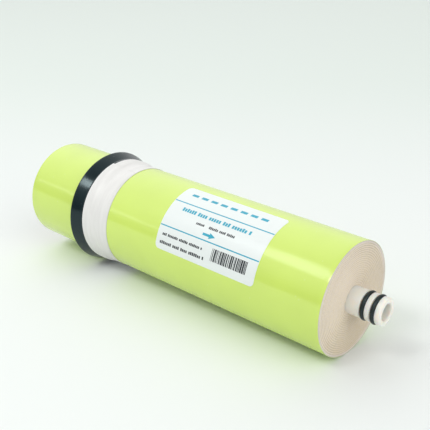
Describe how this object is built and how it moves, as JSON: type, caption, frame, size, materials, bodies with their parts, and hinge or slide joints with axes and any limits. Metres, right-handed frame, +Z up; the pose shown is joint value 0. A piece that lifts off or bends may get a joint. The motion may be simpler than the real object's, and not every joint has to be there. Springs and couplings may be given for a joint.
{
  "type": "ro membrane element",
  "caption": "Spiral-wound reverse-osmosis element: leaf pack on a permeate tube, film wrap, lip brine seal under tape, label and an O-ring outlet spigot.",
  "frame": {"origin": "centre of the permeate bore where the roll's outlet end face crosses the tube's axis", "axes": "+X along the tube's axis, out through the spigot with the O-rings; +Z up as the element lies on its side, so the label faces -Y and up"},
  "size_m": [0.2985, 0.0806, 0.0806],
  "materials": {
    "tube": "smooth off-white moulded ABS",
    "leaves": "cut edges of membrane leaves and spacer cloth, cream",
    "wrap": "glossy lime film",
    "seal": "glossy black rubber",
    "tape": "white vinyl tape, fine wrinkles",
    "label": null,
    "o_ring": "black nitrile"
  },
  "bodies": {
    "root": {"permeate_tube": "tube", "tube_plug": "tube", "membrane_roll": "leaves", "outer_wrap": "wrap", "brine_seal": "seal", "seal_tape": "tape", "label": "label", "o_ring_inner": "o_ring", "o_ring_outer": "o_ring"}
  },
  "joints": []
}
